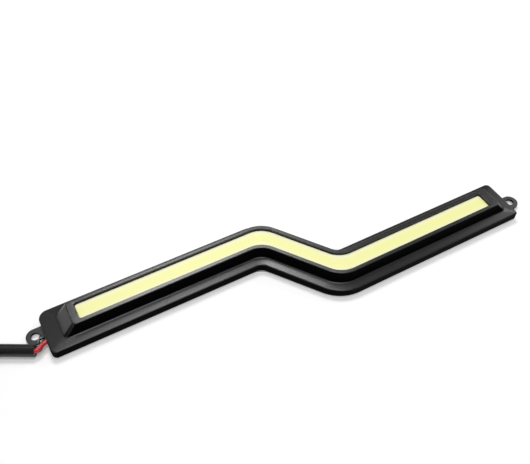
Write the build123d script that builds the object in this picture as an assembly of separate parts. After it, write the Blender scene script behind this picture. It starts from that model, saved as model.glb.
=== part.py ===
"""Daytime running light: a bent black bar with a bare lit strip, laid face up on its taped back."""
import os
from math import atan2, cos, degrees, hypot, pi, radians, sin, sqrt, tan

from build123d import *

# Plan of the lit strip, millimetres and degrees
left_arm = 75.0
middle_leg = 33.8
right_arm = 71.2
bend_angle = 53.5
bend_radius = 10.0
strip_width = 7.0
strip_corner = 0.9

# Housing in plan, outwards from the strip
window_gap = 0.12
rim_side = 1.55
rim_left = 2.7
rim_right = 3.5
rim_corner = 1.3
side_draft = 0.91
end_ramp = 4.5
foot_corner = 2.0
flange_side = 3.53
flange_left = 5.88
flange_right = 3.98
rear_left_corner = 3.5
front_left_corner = 2.0
front_right_corner = 1.2
rear_right_corner = 2.0
least_corner = 0.2

# Housing in height
ridge_height = 5.0
lip_thickness = 2.0
strip_recess = 1.15
wall = 0.7

# Rounded edges of the moulding
flange_edge_radius = 0.7
foot_radius = 0.5
rim_edge_radius = 0.4
window_edge_radius = 0.15
strip_edge_radius = 0.25

# Screw ears
ear_radius = 3.3
ear_hole = 3.1
ear_thickness = 0.9
ear_reach = 3.2
ear_offset = 2.05
ear_root_radius = 0.4
ear_relief = 2.2

# Tape and liner on the back
tape_thickness = 0.7
liner_thickness = 0.1
tape_inset = 0.4
tape_bend_extra = 4.5

# Board and what it carries
board_thickness = 1.2
board_clearance = 0.1
chip_length = 1.0
chip_width = 0.6
chip_height = 0.2
chip_count = 39
resistor_length = 3.2
resistor_width = 1.6
resistor_height = 0.6
resistor_gap = 2.8
resistor_count = 2
solder_skin = 0.25
solder_gap = 0.4
solder_inset = 3.0

# Lead: two insulated wires in a sleeve that leaves the left end at a heading in plan
core_diameter = 1.7
core_gap = 0.3
core_clearance = 0.05
core_tilt = 60.0
core_stub = 0.9
core_straight = 0.8
core_run = 3.6
core_rise = 2.2
core_sideways = -1.9
core_spread = 1.6
core_lift = 1.3
notch_slack = 0.4
sleeve_wall = 0.45
sleeve_standoff = 4.6
sleeve_sideways = -4.07
lead_heading = 150.8
end_core_length = 28.0
tinned_diameter = 1.0
tinned_length = 6.0

# Coil of the put-away lead
coil_mid_diameter = 48.0
coil_columns = 2
coil_layers = 3
coil_tail = 1.2
coil_chamfer = 1.5
tie_width = 4.5
tie_thickness = 0.6
tie_angle = 150.0
end_angle = 290.0

# Shares of a run that an arc at its end takes up, beside another arc and alone, and the slack for finding faces
arc_share = 0.45
lone_arc_share = 0.9
tiny = 0.001

# Heights of the stack above the floor
z_back = liner_thickness + tape_thickness
z_ear = z_back + ear_thickness
z_lanes = z_back + core_clearance + core_diameter / 2 + core_lift / 2
z_ceiling = z_lanes + core_lift / 2 + core_diameter / 2 + core_clearance
z_flange = z_ceiling + wall
z_rim = z_flange + ridge_height
z_seat = z_rim - lip_thickness
z_strip = z_rim - strip_recess
z_board = z_seat - board_thickness

# Half-widths and end margins, measured from the strip's centreline and its two ends
strip_half = strip_width / 2
window_half = strip_half + window_gap
rim_half = window_half + rim_side
foot_half = rim_half + side_draft
flange_half = foot_half + flange_side
left_rim = window_gap + rim_left
right_rim = window_gap + rim_right
left_margin = left_rim + end_ramp + flange_left
right_margin = right_rim + end_ramp + flange_right
flange_corners = [rear_left_corner, front_left_corner, front_right_corner, rear_right_corner]
ramp_wall = wall * hypot(end_ramp, ridge_height) / ridge_height
mouth_margin = left_rim + end_ramp * (ridge_height + wall) / ridge_height - ramp_wall

# Centreline corners, with the middle of the whole lamp at the origin
leg_x = middle_leg * cos(radians(bend_angle))
leg_y = middle_leg * sin(radians(bend_angle))
ear_tip = ear_reach + ear_radius
lamp_length = ear_tip + left_margin + left_arm + leg_x + right_arm + right_margin + ear_tip
left_end = Vector(-lamp_length / 2 + ear_tip + left_margin, leg_y / 2)
first_bend = left_end + Vector(left_arm, 0)
second_bend = first_bend + Vector(leg_x, -leg_y)
right_end = second_bend + Vector(right_arm, 0)

# End walls, the ears and the two lanes by which the wires pass the left ear, one above and in front of the other
left_wall = left_end.X - left_margin
right_wall = right_end.X + right_margin
left_ear = Vector(left_wall - ear_reach, left_end.Y + ear_offset)
right_ear = Vector(right_wall + ear_reach, right_end.Y - ear_offset)
core_pitch = core_diameter + core_gap
solder_radius = core_diameter / 2 + solder_skin
solder_height = core_diameter + solder_skin
lane_middle = left_end.Y + core_sideways
rear_lane_edge = lane_middle + core_spread / 2 + core_diameter / 2 + core_clearance
front_lane_edge = lane_middle - core_spread / 2 - core_diameter / 2 - notch_slack

# Sleeve's lamp end and the free route of the lead: steps along its heading, to its left and in height
sleeve_diameter = core_pitch + core_diameter + 2 * sleeve_wall
sleeve_radius = sleeve_diameter / 2
sleeve_end = Vector(left_wall - sleeve_standoff, left_end.Y + sleeve_sideways, sleeve_radius)
along_lead = Vector(cos(radians(lead_heading)), sin(radians(lead_heading)), 0)
left_of_lead = Vector(-along_lead.Y, along_lead.X, 0)
route_steps = [(0, 0, 0), (10, 0, 0), (20, 0.5, tie_thickness), (30, 0.7, tie_thickness)]
route = [sleeve_end + along_lead * a + left_of_lead * b + Vector(0, 0, c) for a, b, c in route_steps]

# Coil: its outer lane continues the lead's last run, and its bottom lies on the tie
coil_radius = coil_mid_diameter / 2
coil_half_width = coil_columns * sleeve_radius
coil_height = coil_layers * sleeve_diameter
outer_lane = coil_radius + coil_half_width - sleeve_radius
inner_lane = coil_radius - coil_half_width + sleeve_radius
last_run = (route[-1] - route[-2]).normalized()
coil_entry_length = 2 * sqrt(outer_lane * sleeve_radius) + coil_tail
coil_entry = route[-1] + last_run * coil_entry_length
coil_centre = coil_entry + Vector(-last_run.Y, last_run.X, 0) * outer_lane
entry_angle = degrees(atan2(coil_entry.Y - coil_centre.Y, coil_entry.X - coil_centre.X))
coil_place = Pos(coil_centre.X, coil_centre.Y, tie_thickness) * Rot(0, 0, entry_angle)


def outline(half_width, left, right, corners, tight_extra=0.0):
    """Plan face with sides parallel to the strip, margins past its ends and corners from the rear left round."""
    rear_left, front_left, front_right, rear_right = corners
    shift = half_width * tan(radians(bend_angle) / 2)
    outset = half_width - strip_half
    tight = bend_radius - outset + tight_extra
    wide = bend_radius + outset
    x_left = left_end.X - left
    x_right = right_end.X + right
    points = [
        (x_left, left_end.Y + half_width),
        (x_left, left_end.Y - half_width),
        (first_bend.X - shift, first_bend.Y - half_width),
        (second_bend.X - shift, second_bend.Y - half_width),
        (x_right, right_end.Y - half_width),
        (x_right, right_end.Y + half_width),
        (second_bend.X + shift, second_bend.Y + half_width),
        (first_bend.X + shift, first_bend.Y + half_width),
    ]
    radii = [rear_left, front_left, tight, wide, front_right, rear_right, tight, wide]
    return make_face(FilletPolyline(*points, radius=radii, close=True))


def flange_outline(inset=0.0, tight_extra=0.0):
    """Plan of the flange, set in all round."""
    corners = [max(corner - inset, least_corner) for corner in flange_corners]
    return outline(flange_half - inset, left_margin - inset, right_margin - inset, corners, tight_extra)


def plate(face, z_bottom, z_top):
    """Flat plate of a plan face between two heights."""
    return extrude(Pos(0, 0, z_bottom) * face, z_top - z_bottom)


def ridge_face(z, inset=0.0, end_inset=0.0):
    """Plan section of the drafted ridge at a height, set in by a wall."""
    fall = (z_rim - z) / ridge_height
    half_width = rim_half + side_draft * fall - inset
    ramp = end_ramp * fall - end_inset
    corner = max(rim_corner + (foot_corner - rim_corner) * fall - inset, strip_corner)
    return Pos(0, 0, z) * outline(half_width, left_rim + ramp, right_rim + ramp, [corner] * 4)


def ridge(z_bottom, z_top, inset=0.0, end_inset=0.0):
    """Ridge with drafted sides and a ramp at each end, or the hollow inside it."""
    return loft([ridge_face(z_bottom, inset, end_inset), ridge_face(z_top, inset, end_inset)], ruled=True)


def flat_face(part, z):
    """The upward flat face of a part at a height."""
    faces = part.faces().filter_by(Axis.Z).filter_by_position(Axis.Z, z - tiny, z + tiny)
    return faces.sort_by(SortBy.AREA)[-1]


def ear(centre, root_x):
    """Screw ear: a round-ended tab at the level of the housing's back edge."""
    reach = abs(centre.X - root_x) + wall / 2
    side = 1 if root_x > centre.X else -1
    tab = Pos(centre.X + side * reach / 2, centre.Y) * Rectangle(reach, 2 * ear_radius)
    face = tab + Pos(centre.X, centre.Y) * Circle(ear_radius)
    return plate(face, z_back, z_ear)


def ear_corner():
    """Corner that the left ear leaves free beside the end wall, where the wires pass."""
    front = left_ear.Y - ear_radius
    width = max(rear_lane_edge + ear_root_radius - front, tiny)
    place = Pos(left_wall - ear_relief / 2, front + width / 2, (z_back + z_ear) / 2)
    return place * Box(ear_relief, width, ear_thickness)


def hollow():
    """Open space inside the housing, from its back edge up to the board's seat."""
    return plate(flange_outline(wall), z_back, z_ceiling) + ridge(z_ceiling, z_seat, wall, ramp_wall)


def wire_notch():
    """Notch through the left end wall for the two wires, open towards the back."""
    depth = 2 * wall
    place = Pos(left_wall + depth / 2, (front_lane_edge + rear_lane_edge) / 2, (z_back + z_ceiling) / 2)
    return place * Box(depth, rear_lane_edge - front_lane_edge, z_ceiling - z_back)


def housing():
    """One moulded shell: skirt and flange, ridge with its window, and an ear at each end."""
    body = plate(flange_outline(), z_back, z_flange)
    body = fillet(flat_face(body, z_flange).outer_wire().edges(), flange_edge_radius)
    body += ridge(z_flange, z_rim)
    body = fillet(flat_face(body, z_flange).inner_wires()[0].edges(), foot_radius)
    body = fillet(flat_face(body, z_rim).outer_wire().edges(), rim_edge_radius)
    body += ear(left_ear, left_wall) - ear_corner()
    body += ear(right_ear, right_wall)
    roots = body.edges().filter_by(Axis.Z).filter_by(lambda e: abs(e.length - ear_thickness) < tiny)
    body = fillet(roots.filter_by(lambda e: abs(e.center().X) < right_wall + tiny), ear_root_radius)
    window = outline(window_half, window_gap, window_gap, [strip_corner + window_gap] * 4)
    body -= plate(window, z_seat, z_rim)
    body = fillet(flat_face(body, z_rim).inner_wires()[0].edges(), window_edge_radius)
    body -= hollow()
    body -= wire_notch()
    for centre in (left_ear, right_ear):
        body -= Pos(centre.X, centre.Y, z_back + ear_thickness / 2) * Cylinder(ear_hole / 2, ear_thickness)
    return body


def circuit_board():
    """Board that seats against the underside of the window's lip."""
    fall = lip_thickness / ridge_height
    half_width = rim_half + side_draft * fall - wall - board_clearance
    ramp = end_ramp * fall - ramp_wall - board_clearance
    face = outline(half_width, left_rim + ramp, right_rim + ramp, [strip_corner] * 4)
    return plate(face, z_board, z_seat)


def led_chips():
    """Row of dies along the strip's centreline."""
    corners = [left_end, first_bend, second_bend, right_end]
    centreline = FilletPolyline(*corners, radius=bend_radius)
    chips = []
    for index in range(chip_count):
        share = (index + 0.5) / chip_count
        place = centreline.position_at(share)
        along = centreline.tangent_at(share)
        turn = degrees(atan2(along.Y, along.X))
        chip = Box(chip_length, chip_width, chip_height)
        chips.append(Pos(place.X, place.Y, z_seat + chip_height / 2) * Rot(0, 0, turn) * chip)
    return chips


def phosphor_strip(chips):
    """Poured silicone strip that covers the dies and shows in the window."""
    strip = plate(outline(strip_half, 0, 0, [strip_corner] * 4), z_seat, z_strip)
    strip = fillet(flat_face(strip, z_strip).outer_wire().edges(), strip_edge_radius)
    return strip - chips


def current_resistors():
    """Chip resistors in a row past the solder joints, under the left arm of the board."""
    pitch = resistor_length + resistor_gap
    first = left_end.X + solder_inset + solder_radius + pitch - resistor_length / 2
    body = Box(resistor_length, resistor_width, resistor_height)
    z = z_board - resistor_height / 2
    return [Pos(first + i * pitch, left_end.Y, z) * body for i in range(resistor_count)]


def solder_pad(side):
    """Middle of a solder pad on the underside of the board, to one side of its centreline."""
    return Vector(left_end.X + solder_inset, left_end.Y + side * (solder_radius + solder_gap / 2), z_board)


def corner_radii(points, first_share):
    """Arc radius at each inner point, as large as the two runs that meet there allow."""
    places = [Vector(p) for p in points]
    radii = []
    share = first_share
    for before, here, after in zip(places, places[1:], places[2:]):
        run_in = here - before
        run_out = after - here
        half_turn = radians(run_in.get_angle(run_out)) / 2
        radii.append(min(share * run_in.length, arc_share * run_out.length) / tan(half_turn))
        share = arc_share
    return radii


def swept_tube(points, diameter, first_share=arc_share):
    """Round wire or sleeve along straight runs and the largest arcs that they allow."""
    radii = corner_radii(points, first_share)
    path = FilletPolyline(*points, radius=radii)
    start = Plane(origin=path @ 0, z_dir=path % 0)
    tube = sweep(start * Circle(diameter / 2), path)
    expected = pi * diameter ** 2 / 4 * path.length
    print("bend radii", [round(r, 2) for r in radii], "volume over section times length", tube.volume / expected)
    return tube


def lead_core(side):
    """Wire from the sleeve's end past the ear, through the end wall and up to its solder joint."""
    across = left_of_lead * cos(radians(core_tilt)) + Vector(0, 0, sin(radians(core_tilt)))
    start = sleeve_end - across * side * core_pitch / 2
    lane = lane_middle + side * core_spread / 2
    z_lane = z_lanes - side * core_lift / 2
    pad = solder_pad(side)
    z_joint = z_board - solder_height / 2
    rise_start = Vector(left_end.X - mouth_margin + core_rise, pad.Y, z_lane)
    rise_end = Vector(pad.X - core_diameter, pad.Y, z_joint)
    points = [
        start,
        start - along_lead * core_stub,
        Vector(left_wall - core_straight, lane, z_lane),
        Vector(left_wall + core_run, lane, z_lane),
        rise_start,
        rise_end,
        Vector(pad.X, pad.Y, z_joint),
    ]
    return swept_tube(points, core_diameter, lone_arc_share)


def solder_joint(side, core):
    """Solder dome under the board that takes a wire's end."""
    pad = solder_pad(side)
    dome = Pos(pad.X, pad.Y, pad.Z - solder_height / 2) * Cylinder(solder_radius, solder_height)
    dome = chamfer(dome.faces().sort_by(Axis.Z)[0].edges(), solder_radius / 2)
    return dome - core


def potting_fill(buried):
    """Sealing compound under the board, around the wires and in the notch."""
    fill = hollow() + wire_notch()
    fill -= plate(flange_outline(), z_board, z_rim)
    for piece in buried:
        fill -= piece
    return fill


def back_layer(z_bottom, z_top):
    """Tape or liner on the back, whose inner bends are cut rounder than the housing's."""
    return plate(flange_outline(tape_inset, tape_bend_extra), z_bottom, z_top)


def coil_section(outset=0.0):
    """Section of the coil in the XZ plane, round where its tail leaves it and with its other corners cut."""
    face = Rectangle(2 * (coil_half_width + outset), coil_height + 2 * outset)
    corners = face.vertices().sort_by(lambda corner: corner.Y - corner.X)
    face = chamfer(corners[1:], coil_chamfer + outset * (2 - sqrt(2)))
    outer_bottom = face.vertices().sort_by(lambda corner: corner.Y - corner.X)[0]
    face = fillet(outer_bottom, sleeve_radius + outset)
    return Plane.XZ * Pos(coil_radius, coil_height / 2) * face


def turned(section, start_angle, length, radius):
    """A section in the XZ plane swept round the coil from an angle, over an arc length at a radius."""
    return Rot(0, 0, start_angle) * revolve(section, Axis.Z, degrees(length / radius))


def lead_coil():
    """Outer shape of the wound lead, with its incoming tail and the lane where its ends lie."""
    ring = revolve(coil_section(), Axis.Z)
    tail = Pos(outer_lane, -coil_entry_length / 2, sleeve_radius) * Rot(90, 0, 0)
    ring += tail * Cylinder(sleeve_radius, coil_entry_length)
    free_lane = Pos(inner_lane, coil_height - sleeve_radius) * Rectangle(sleeve_diameter, sleeve_diameter)
    ring -= turned(Plane.XZ * free_lane, end_angle, end_core_length + 2 * tinned_length, inner_lane)
    return coil_place * ring


def lead_end(side):
    """Wire past the sleeve's far end and its tinned tip, lying in the free lane of the coil."""
    radius = inner_lane + side * core_pitch / 2
    z = coil_height - sleeve_diameter + core_diameter / 2
    core = turned(Plane.XZ * Pos(radius, z) * Circle(core_diameter / 2), end_angle, end_core_length, radius)
    tip_angle = end_angle + degrees(end_core_length / radius)
    tip = turned(Plane.XZ * Pos(radius, z) * Circle(tinned_diameter / 2), tip_angle, tinned_length, radius)
    return coil_place * core, coil_place * tip


def coil_tie():
    """Flat strap round the coil's section."""
    strap = coil_section(tie_thickness) - coil_section()
    return coil_place * turned(strap, tie_angle, tie_width, coil_radius)


def main():
    os.makedirs("parts", exist_ok=True)
    chips = led_chips()
    red_core = lead_core(-1)
    black_core = lead_core(1)
    joints = [solder_joint(-1, red_core), solder_joint(1, black_core)]
    resistors = current_resistors()
    end_red, tip_red = lead_end(1)
    end_black, tip_black = lead_end(-1)
    nodes = {
        "housing": housing(),
        "circuit_board": circuit_board(),
        "led_chips": Compound(children=chips),
        "phosphor_strip": phosphor_strip(chips),
        "current_resistors": Compound(children=resistors),
        "solder_joints": Compound(children=joints),
        "potting_fill": potting_fill([red_core, black_core] + joints + resistors),
        "foam_tape": back_layer(liner_thickness, z_back),
        "release_liner": back_layer(0, liner_thickness),
        "lead_core_red": red_core,
        "lead_core_black": black_core,
        "lead_sleeve": swept_tube(route, sleeve_diameter),
        "lead_coil": lead_coil(),
        "coil_tie": coil_tie(),
        "lead_end_red": end_red,
        "lead_end_black": end_black,
        "tinned_ends": Compound(children=[tip_red, tip_black]),
    }
    for name, shape in nodes.items():
        export_step(shape, f"parts/{name}.step")


main()
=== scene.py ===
from math import atan2, cos, pi, radians, sin, sqrt, tan

import bpy
from mathutils import Matrix, Vector


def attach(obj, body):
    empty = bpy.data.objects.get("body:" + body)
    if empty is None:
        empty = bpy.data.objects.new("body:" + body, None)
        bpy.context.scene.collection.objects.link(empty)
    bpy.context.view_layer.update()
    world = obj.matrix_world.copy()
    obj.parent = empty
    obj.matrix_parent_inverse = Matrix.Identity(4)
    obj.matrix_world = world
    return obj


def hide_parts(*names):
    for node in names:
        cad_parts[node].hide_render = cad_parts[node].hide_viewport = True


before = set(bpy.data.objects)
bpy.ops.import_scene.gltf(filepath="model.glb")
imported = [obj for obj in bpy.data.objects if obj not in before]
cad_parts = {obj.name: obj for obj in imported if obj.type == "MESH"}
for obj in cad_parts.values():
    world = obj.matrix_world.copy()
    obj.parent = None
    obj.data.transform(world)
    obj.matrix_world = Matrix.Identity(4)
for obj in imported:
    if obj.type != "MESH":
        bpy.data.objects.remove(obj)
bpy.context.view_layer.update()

MM = 0.001
BODY = "root"

# Camera: the photo's viewpoint, in metres and degrees
camera_place = Vector((-0.08470, -0.12334, 0.20310))
camera_azimuth = 29.958
camera_elevation = 50.726
camera_roll = 1.523
camera_lens = 42.932
sensor_width = 36.0

# Joined copies of CAD nodes: points this close are one, and edges less sharp than this look round
join_distance = 0.01 * MM
smooth_angle = radians(35)

# Studio: the floor's side, the soft boxes' distance, the surroundings' level and the floor's lift to white
floor_size = 6.0
light_distance = 0.8
surroundings = 0.30
floor_lift = 0.20

# Lead: the sleeve's lamp end, its heading and its steps along, to the left and up
sleeve_diameter = 4.6 * MM
sleeve_radius = sleeve_diameter / 2
tie_thickness = 0.6 * MM
sleeve_end = Vector((-100.4025 * MM, 9.5152 * MM, sleeve_radius))
lead_heading = radians(150.8)
route_steps = [
    (0, 0, 0),
    (10 * MM, 0, 0),
    (20 * MM, 0.5 * MM, tie_thickness),
    (30 * MM, 0.7 * MM, tie_thickness),
]

# Flange: its top, its rounded edge, how far that edge falls, and what still counts as level with the top
flange_top = 4.6 * MM
flange_round = 0.7 * MM
flange_fall = 0.4 * MM
flat_within = 0.003 * MM

# Steep walls, darker and almost without reflection as painted shade: how little they face up, and how
# close to the strip a wall is smooth instead
steep_wall = 0.5
recess_margin = 1.0 * MM

# Lit strip: corners of its centreline, radius of its bends, half width, top and pale edge
strip_corners = [Vector((-7.6025, 13.585, 0)) * MM, Vector((12.5025, -13.585, 0)) * MM]
bend_radius = 10.0 * MM
strip_half = 3.5 * MM
strip_top = 8.45 * MM
pale_edge = 2.4 * MM

# Coil of the put-away lead: lanes as (column, layer), turned anticlockwise
coil_radius = 24.0 * MM
coil_tail = 1.2 * MM
outer_lane = coil_radius + sleeve_radius
inner_lane = coil_radius - sleeve_radius
coil_lanes = [
    (outer_lane, 0),
    (inner_lane, 0),
    (inner_lane, 1),
    (outer_lane, 1),
    (outer_lane, 2),
    (inner_lane, 2),
]
lane_turn = 250.0
change_turn = 55.0
last_turn = 205.0
points_per_turn = 24


def linear(hex_colour):
    """Linear colour of an sRGB hex value."""
    channels = [int(hex_colour[i:i + 2], 16) / 255 for i in (1, 3, 5)]
    return [c / 12.92 if c <= 0.04045 else ((c + 0.055) / 1.055) ** 2.4 for c in channels] + [1.0]


def add(tree, kind, inputs=None, **settings):
    """One node with its settings, socket values and incoming links."""
    made = tree.nodes.new(kind)
    for name, value in settings.items():
        setattr(made, name, value)
    for socket, value in (inputs or {}).items():
        if isinstance(value, bpy.types.NodeSocket):
            tree.links.new(value, made.inputs[socket])
        else:
            made.inputs[socket].default_value = value
    return made


def surface(name, colour, roughness, ior, metallic=0.0):
    """A material with its shader set to the values that are the same all over."""
    material = bpy.data.materials.new(name)
    material.use_nodes = True
    shader = material.node_tree.nodes["Principled BSDF"]
    shader.inputs["Base Color"].default_value = linear(colour)
    shader.inputs["Roughness"].default_value = roughness
    shader.inputs["IOR"].default_value = ior
    shader.inputs["Metallic"].default_value = metallic
    return material, material.node_tree, shader


def per_metre(size_mm):
    """Texture scale whose features are about this many millimetres across."""
    return 1 / (size_mm * MM)


def mottled(name, colour, shade, roughness, ior, drift_mm, metallic=0.0):
    """A material whose colour drifts between two near shades, with its place and drift for more nodes."""
    material, tree, shader = surface(name, colour, roughness, ior, metallic)
    place = add(tree, "ShaderNodeTexCoord").outputs["Object"]
    drift = add(tree, "ShaderNodeTexNoise", {"Vector": place, "Scale": per_metre(drift_mm), "Detail": 3.0})
    tint = add(tree, "ShaderNodeMix", {"Factor": drift.outputs["Fac"]}, data_type="RGBA")
    tint.inputs["A"].default_value = linear(colour)
    tint.inputs["B"].default_value = linear(shade)
    tree.links.new(tint.outputs["Result"], shader.inputs["Base Color"])
    return material, tree, shader, place, drift.outputs["Fac"]


def raised(tree, shader, height, depth_mm):
    """Lets a pattern stand out from the surface by so many millimetres."""
    bump = add(tree, "ShaderNodeBump", {"Height": height, "Strength": 0.4, "Distance": depth_mm * MM})
    tree.links.new(bump.outputs["Normal"], shader.inputs["Normal"])


def moulded_abs(name, colour, gloss, smoothest, dullest):
    """Injection-moulded black ABS: deep black, with soft grey highlights where its skin is satin."""
    material, tree, shader = surface(name, colour, smoothest, 1.52)
    shader.inputs["Specular IOR Level"].default_value = gloss
    place = add(tree, "ShaderNodeTexCoord").outputs["Object"]
    flow = add(tree, "ShaderNodeTexNoise", {"Vector": place, "Scale": per_metre(9.0), "Detail": 2.0})
    sheen = add(tree, "ShaderNodeMapRange", {"Value": flow.outputs["Fac"]})
    sheen.inputs["To Min"].default_value = smoothest
    sheen.inputs["To Max"].default_value = dullest
    tree.links.new(sheen.outputs["Result"], shader.inputs["Roughness"])
    grain = add(tree, "ShaderNodeTexNoise", {"Vector": place, "Scale": per_metre(0.5), "Detail": 3.0})
    raised(tree, shader, grain.outputs["Fac"], 0.006)
    return material


def centreline_stretches():
    """Stretches of the strip's centreline: start, heading, measure, reference and middle value."""
    ahead = Vector((1, 0, 0))
    leg = (strip_corners[1] - strip_corners[0]).normalized()
    reach = bend_radius * tan(ahead.angle(leg) / 2)
    first_in, first_out = strip_corners[0] - ahead * reach, strip_corners[0] + leg * reach
    second_in, second_out = strip_corners[1] - leg * reach, strip_corners[1] + ahead * reach
    beside_arm, beside_leg = Vector((0, 1, 0)), Vector((-leg.y, leg.x, 0))
    return [
        (first_in, -ahead, "DOT_PRODUCT", beside_arm, beside_arm.dot(first_in)),
        (first_in, ahead, "DISTANCE", first_in - beside_arm * bend_radius, bend_radius),
        (first_out, leg, "DOT_PRODUCT", beside_leg, beside_leg.dot(first_out)),
        (second_in, leg, "DISTANCE", second_out + beside_arm * bend_radius, bend_radius),
        (second_out, ahead, "DOT_PRODUCT", beside_arm, beside_arm.dot(second_out)),
    ]


def centreline_distance(tree, place):
    """How far a point of the strip's top lies from its centreline, worked out by nodes."""
    nearest = 0.0
    flat = add(tree, "ShaderNodeVectorMath", {0: place, 1: (1, 1, 0)}, operation="MULTIPLY").outputs[0]
    for start, heading, measure, reference, middle in centreline_stretches():
        across = add(tree, "ShaderNodeVectorMath", {0: flat, 1: reference}, operation=measure)
        offset = add(tree, "ShaderNodeMath", {0: across.outputs["Value"], 1: middle}, operation="SUBTRACT")
        offset = add(tree, "ShaderNodeMath", {0: offset.outputs[0]}, operation="ABSOLUTE")
        along = add(tree, "ShaderNodeVectorMath", {0: flat, 1: heading}, operation="DOT_PRODUCT")
        past = add(tree, "ShaderNodeMath", {0: along.outputs["Value"]}, operation="GREATER_THAN")
        past.inputs[1].default_value = heading.dot(start)
        mix = {"Factor": past.outputs[0], "A": nearest, "B": offset.outputs[0]}
        nearest = add(tree, "ShaderNodeMix", mix).outputs["Result"]
    return nearest


def away_from_centreline(place):
    """Vector from the nearest point of the centreline to a place, seen from above."""
    flat = Vector((place.x, place.y, 0))
    for start, heading, measure, reference, middle in centreline_stretches():
        if heading.dot(flat) >= heading.dot(start):
            if measure == "DISTANCE":
                away = (flat - reference).normalized() * ((flat - reference).length - middle)
            else:
                away = reference * (reference.dot(flat) - middle)
    return away


def phosphor_silicone():
    """Poured silicone with phosphor: soft lemon yellow, paler towards its edge."""
    material, tree, shader = surface("phosphor_silicone", "#F8F8AE", 0.42, 1.41)
    place = add(tree, "ShaderNodeTexCoord").outputs["Object"]
    rim = add(tree, "ShaderNodeMapRange", {"Value": centreline_distance(tree, place)})
    rim.inputs["From Min"].default_value = strip_half - pale_edge
    rim.inputs["From Max"].default_value = strip_half
    grains = add(tree, "ShaderNodeTexNoise", {"Vector": place, "Scale": per_metre(1.2), "Detail": 4.0})
    tint = add(tree, "ShaderNodeMix", {"Factor": grains.outputs["Fac"]}, data_type="RGBA")
    tint.inputs["A"].default_value = linear("#FAFAA8")
    tint.inputs["B"].default_value = linear("#FCFCB0")
    pale = add(tree, "ShaderNodeMix", {"Factor": rim.outputs["Result"]}, data_type="RGBA")
    tree.links.new(tint.outputs["Result"], pale.inputs["A"])
    pale.inputs["B"].default_value = linear("#FEFEDA")
    tree.links.new(pale.outputs["Result"], shader.inputs["Base Color"])
    raised(tree, shader, grains.outputs["Fac"], 0.01)
    return material


def extruded_pvc(name, colour, shade, roughness, gloss):
    """Extruded PVC: a bright line along its top, a little wavy from the die, on a satin skin."""
    material, tree, shader, place, _ = mottled(name, colour, shade, roughness, 1.53, drift_mm=3.0)
    shader.inputs["Specular IOR Level"].default_value = gloss
    skin = add(tree, "ShaderNodeTexNoise", {"Vector": place, "Scale": per_metre(0.8), "Detail": 3.0})
    raised(tree, shader, skin.outputs["Fac"], 0.02)
    return material


def tinned_copper():
    """Dipped solder over copper strands: bright grey metal with duller patches where it set."""
    colours = "#D2D0CA", "#B4B1A9"
    material, tree, shader, _, drift = mottled("tinned_copper", *colours, 0.3, 1.5, 0.6, metallic=1.0)
    dull = add(tree, "ShaderNodeMapRange", {"Value": drift, "To Min": 0.22, "To Max": 0.48})
    tree.links.new(dull.outputs["Result"], shader.inputs["Roughness"])
    raised(tree, shader, drift, 0.04)
    return material


def black_nylon():
    """Moulded nylon strap: dark, with fine ribs along which the light breaks up."""
    material, tree, shader, place, _ = mottled("black_nylon", "#101011", "#171718", 0.45, 1.53, 2.0)
    ribs = add(tree, "ShaderNodeTexWave", {"Vector": place, "Scale": per_metre(4.0), "Distortion": 0.3})
    raised(tree, shader, ribs.outputs["Fac"], 0.05)
    return material


def acrylic_foam():
    """Closed-cell acrylic foam: pale grey with fine dark pits on its cut edge."""
    material, tree, shader, place, _ = mottled("acrylic_foam", "#B0B1AB", "#A1A29C", 0.85, 1.49, 1.5)
    cells = add(tree, "ShaderNodeTexVoronoi", {"Vector": place, "Scale": per_metre(0.3)})
    raised(tree, shader, cells.outputs["Distance"], 0.1)
    return material


def coated_paper():
    """Silicone-coated release paper: white, with a faint sheen that its fibres break up."""
    colours = "#F3F2EE", "#ECEBE6"
    material, tree, shader, place, drift = mottled("silicone_coated_paper", *colours, 0.45, 1.47, 6.0)
    sheen = add(tree, "ShaderNodeMapRange", {"Value": drift, "To Min": 0.38, "To Max": 0.55})
    tree.links.new(sheen.outputs["Result"], shader.inputs["Roughness"])
    fibres = add(tree, "ShaderNodeTexNoise", {"Vector": place, "Scale": per_metre(0.5), "Detail": 4.0})
    raised(tree, shader, fibres.outputs["Fac"], 0.01)
    return material


def inner_finish(name, colour, shade, roughness, ior):
    """Finish of a piece inside the housing: two near shades with a fine grain."""
    material, tree, shader, _, drift = mottled(name, colour, shade, roughness, ior, drift_mm=1.0)
    raised(tree, shader, drift, 0.01)
    return material


def only(piece):
    """Makes one object the active and only selected one."""
    bpy.ops.object.select_all(action="DESELECT")
    piece.select_set(True)
    bpy.context.view_layer.objects.active = piece


def finished(piece, slot, material, *nodes):
    """Gives a piece its finish and its body, and hides the CAD nodes that it stands for."""
    piece.data.materials.clear()
    piece.data.materials.append(material)
    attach(piece, BODY)
    if nodes:
        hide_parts(*nodes)
    return piece


def joined_copy(node, name):
    """Copy of a CAD node with its triangles joined where they meet."""
    piece = bpy.data.objects.new(name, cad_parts[node].data.copy())
    bpy.context.scene.collection.objects.link(piece)
    only(piece)
    bpy.ops.object.mode_set(mode="EDIT")
    bpy.ops.mesh.select_all(action="SELECT")
    bpy.ops.mesh.remove_doubles(threshold=join_distance)
    bpy.ops.object.mode_set(mode="OBJECT")
    return piece


def smooth(piece):
    """Shades round faces smooth and keeps flat ones flat."""
    only(piece)
    bpy.ops.object.shade_smooth_by_angle(angle=smooth_angle)
    weight = piece.modifiers.new("flat_faces_first", "WEIGHTED_NORMAL")
    weight.keep_sharp = True
    bpy.ops.object.modifier_apply(modifier=weight.name)
    return piece


def dressed(node, name, slot, material):
    """Joined and smooth copy of a CAD node, in its finish, that takes the node's place."""
    return finished(smooth(joined_copy(node, name)), slot, material, node)


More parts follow.
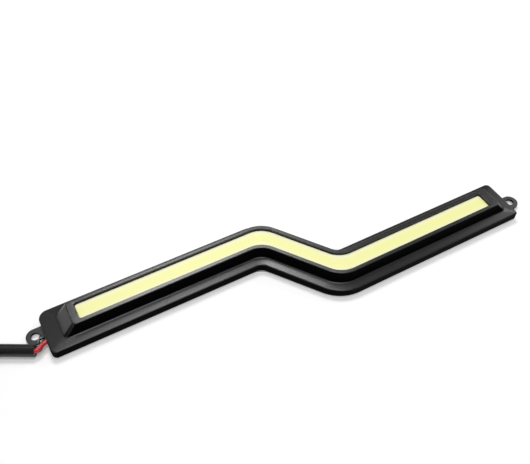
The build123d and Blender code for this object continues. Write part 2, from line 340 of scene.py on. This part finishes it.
def slope_flange(piece):
    """Lowers the flange's rounded outer edge, so that its top falls away from the ridge."""
    vertices = piece.data.vertices
    neighbours = {vertex.index: [] for vertex in vertices}
    for edge in piece.data.edges:
        first, second = edge.vertices
        neighbours[first].append(second)
        neighbours[second].append(first)
    depths = [flange_top - vertex.co.z for vertex in vertices]
    rounded = {i for i, depth in enumerate(depths) if flat_within < depth < flange_round + flat_within}
    reached = [i for i, depth in enumerate(depths)
               if abs(depth) <= flat_within and any(n in rounded for n in neighbours[i])]
    lowered = set(reached)
    while reached:
        for neighbour in neighbours[reached.pop()]:
            if neighbour in rounded and neighbour not in lowered:
                lowered.add(neighbour)
                reached.append(neighbour)
    for index in lowered:
        vertices[index].co.z -= flange_fall


def painted_shade_wall(face):
    """Whether a face is a steep outer wall that takes the painted shade: the walls round the strip are as
    smooth as the rim.
    """
    beside_strip = away_from_centreline(face.center).length < strip_half + recess_margin
    in_recess = beside_strip and face.center.z > strip_top - recess_margin
    return abs(face.normal.z) < steep_wall and not in_recess


def moulded_housing(satin, painted_shade_abs):
    """The housing, satin on the faces and edges that look up; its steep walls take a rougher copy, darker
    and almost without reflection as painted shade.
    """
    piece = joined_copy("housing", "moulded_housing")
    slope_flange(piece)
    smooth(piece)
    finished(piece, "black_abs", satin, "housing")
    piece.data.materials.append(painted_shade_abs)
    # Steep outer walls take the darker, barely reflecting copy: painted shade.
    for face in piece.data.polygons:
        face.material_index = int(painted_shade_wall(face))
    return piece


def lead_points():
    """Control points of the lead: its free route, then the coil's turns lane by lane."""
    along = Vector((cos(lead_heading), sin(lead_heading), 0))
    left = Vector((-along.y, along.x, 0))
    points = [sleeve_end + along * a + left * b + Vector((0, 0, c)) for a, b, c in route_steps]
    last_run = (points[-1] - points[-2]).normalized()
    entry = points[-1] + last_run * (2 * sqrt(outer_lane * sleeve_radius) + coil_tail)
    centre = entry + Vector((-last_run.y, last_run.x, 0)) * outer_lane
    entry_angle = atan2(entry.y - centre.y, entry.x - centre.x)
    step = 360 / points_per_turn
    swell = 1 / cos(pi / points_per_turn)
    turn = 0.0
    end = len(coil_lanes) * lane_turn + (len(coil_lanes) - 1) * change_turn - (lane_turn - last_turn)
    while turn <= end + step / 2:
        radius, height = lane_at(min(turn, end))
        angle = entry_angle + radians(min(turn, end))
        outward = Vector((cos(angle), sin(angle), 0))
        points.append(centre + outward * radius * swell + Vector((0, 0, height)))
        turn += step
    return points


def lane_at(turn):
    """Radius and height of the coil's line after so many degrees, with smooth changes of lane."""
    index, rest = divmod(turn, lane_turn + change_turn)
    here = coil_lanes[int(index)]
    after = coil_lanes[min(int(index) + 1, len(coil_lanes) - 1)]
    share = max(0.0, (rest - lane_turn) / change_turn)
    share = share * share * (3 - 2 * share)
    radius = here[0] + (after[0] - here[0]) * share
    layer = here[1] + (after[1] - here[1]) * share
    return radius, layer * sleeve_diameter


def lead(material):
    """The sleeved lead as one smooth cord from the lamp into its coil."""
    points = lead_points()
    curve = bpy.data.curves.new("sleeved_lead", "CURVE")
    curve.dimensions = "3D"
    curve.bevel_depth = sleeve_radius
    curve.bevel_resolution = 6
    curve.resolution_u = 4
    curve.use_fill_caps = True
    spline = curve.splines.new("NURBS")
    spline.points.add(len(points) - 1)
    for point, place in zip(spline.points, points):
        point.co = (*place, 1.0)
    spline.order_u = 3
    spline.use_endpoint_u = True
    cord = bpy.data.objects.new("sleeved_lead", curve)
    bpy.context.scene.collection.objects.link(cord)
    finished(cord, "black_sleeve", material, "lead_sleeve", "lead_coil")
    return cord


def studio():
    """White floor, dim surroundings, and soft boxes above, behind and beside the lamp."""
    bpy.ops.object.select_all(action="DESELECT")
    bpy.ops.mesh.primitive_plane_add(size=floor_size)
    floor = bpy.context.object
    floor.name = "floor"
    material, tree, shader = surface("white_sweep", "#F4F4F4", 0.9, 1.45)
    rays = add(tree, "ShaderNodeLightPath").outputs
    seen = rays["Is Camera Ray"]
    for ray in ("Is Glossy Ray", "Is Transmission Ray"):
        seen = add(tree, "ShaderNodeMath", {0: seen, 1: rays[ray]}, operation="MAXIMUM").outputs[0]
    lift = add(tree, "ShaderNodeMath", {0: seen, 1: floor_lift}, operation="MULTIPLY")
    tree.links.new(lift.outputs[0], shader.inputs["Emission Strength"])
    shader.inputs["Emission Color"].default_value = (1, 1, 1, 1)
    floor.data.materials.append(material)

    world = bpy.data.worlds.new("dim_studio")
    bpy.context.scene.world = world
    world.use_nodes = True
    world.node_tree.nodes["Background"].inputs["Color"].default_value = (1, 1, 1, 1)
    world.node_tree.nodes["Background"].inputs["Strength"].default_value = surroundings

    soft_box("high_box", azimuth=190, elevation=84, width=0.26, height=0.26, power=1.5)
    soft_box("rear_box", azimuth=14, elevation=62, width=0.28, height=0.22, power=2.5)
    soft_box("right_box", azimuth=78, elevation=38, width=0.24, height=0.18, power=0.45)
    soft_box("front_box", azimuth=190, elevation=62, width=0.30, height=0.20, power=0.4)


def soft_box(name, azimuth, elevation, width, height, power):
    """Soft light that faces the lamp from a direction seen from the lamp."""
    light = bpy.data.lights.new(name, "AREA")
    light.shape = "RECTANGLE"
    light.size = width
    light.size_y = height
    light.energy = power
    box = bpy.data.objects.new(name, light)
    bpy.context.scene.collection.objects.link(box)
    turn, rise = radians(azimuth), radians(elevation)
    towards = Vector((sin(turn) * cos(rise), cos(turn) * cos(rise), sin(rise)))
    box.location = towards * light_distance
    box.rotation_euler = towards.to_track_quat("Z", "Y").to_euler()


def photo_camera():
    """Camera at the photo's viewpoint."""
    camera = bpy.data.cameras.new("photo_camera")
    camera.lens = camera_lens
    camera.sensor_width = sensor_width
    camera.sensor_fit = "HORIZONTAL"
    camera.clip_start = 0.01
    stand = bpy.data.objects.new("photo_camera", camera)
    bpy.context.scene.collection.objects.link(stand)
    turn = Matrix.Rotation(-radians(camera_azimuth), 4, "Z")
    tilt = Matrix.Rotation(radians(90 - camera_elevation), 4, "X")
    roll = Matrix.Rotation(radians(camera_roll), 4, "Z")
    stand.matrix_world = Matrix.Translation(camera_place) @ turn @ tilt @ roll
    bpy.context.scene.camera = stand


def main():
    """The lamp and its lead in their finishes."""
    sleeve_pvc = extruded_pvc("black_sleeve_pvc", "#0B0B0B", "#111110", 0.30, 0.4)
    red_pvc = extruded_pvc("red_wire_pvc", "#C8303A", "#BC2630", 0.30, 0.5)
    black_pvc = extruded_pvc("black_wire_pvc", "#0D0D0E", "#131313", 0.34, 0.4)
    tin = tinned_copper()

    satin = moulded_abs("satin_moulded_abs", "#070708", 0.7, 0.25, 0.31)
    # A rougher copy of the ABS for the steep walls, darker and almost without reflection: painted shade.
    painted_shade_abs = moulded_abs("painted_shade_moulded_abs", "#030304", 0.015, 0.5, 0.6)
    moulded_housing(satin, painted_shade_abs)
    dressed("phosphor_strip", "lit_strip", "yellow_phosphor", phosphor_silicone())
    dressed("foam_tape", "foam_tape_bed", "grey_foam", acrylic_foam())
    dressed("release_liner", "bare_liner", "white_liner", coated_paper())
    dressed("lead_core_red", "red_wire", "red_insulation", red_pvc)
    dressed("lead_core_black", "black_wire", "black_insulation", black_pvc)

    cord = lead(sleeve_pvc)
    ends = [
        dressed("lead_end_red", "red_wire_end", "red_insulation", red_pvc),
        dressed("lead_end_black", "black_wire_end", "black_insulation", black_pvc),
        dressed("tinned_ends", "tinned_tips", "tin_solder", tin),
        dressed("coil_tie", "coil_strap", "black_tie", black_nylon()),
    ]

    hidden = {
        "circuit_board": inner_finish("white_solder_mask", "#E8E9E4", "#E1E2DC", 0.4, 1.5),
        "led_chips": inner_finish("bare_die", "#6A7384", "#5F6778", 0.25, 1.6),
        "current_resistors": inner_finish("resistor_glaze", "#151515", "#1B1B1C", 0.35, 1.5),
        "solder_joints": tin,
        "potting_fill": inner_finish("black_potting_silicone", "#141414", "#191919", 0.4, 1.41),
    }
    for node, material in hidden.items():
        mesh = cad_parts[node].data
        mesh.materials.clear()
        mesh.materials.append(material)


studio()
photo_camera()
main()
bpy.context.scene.view_settings.view_transform = "Standard"
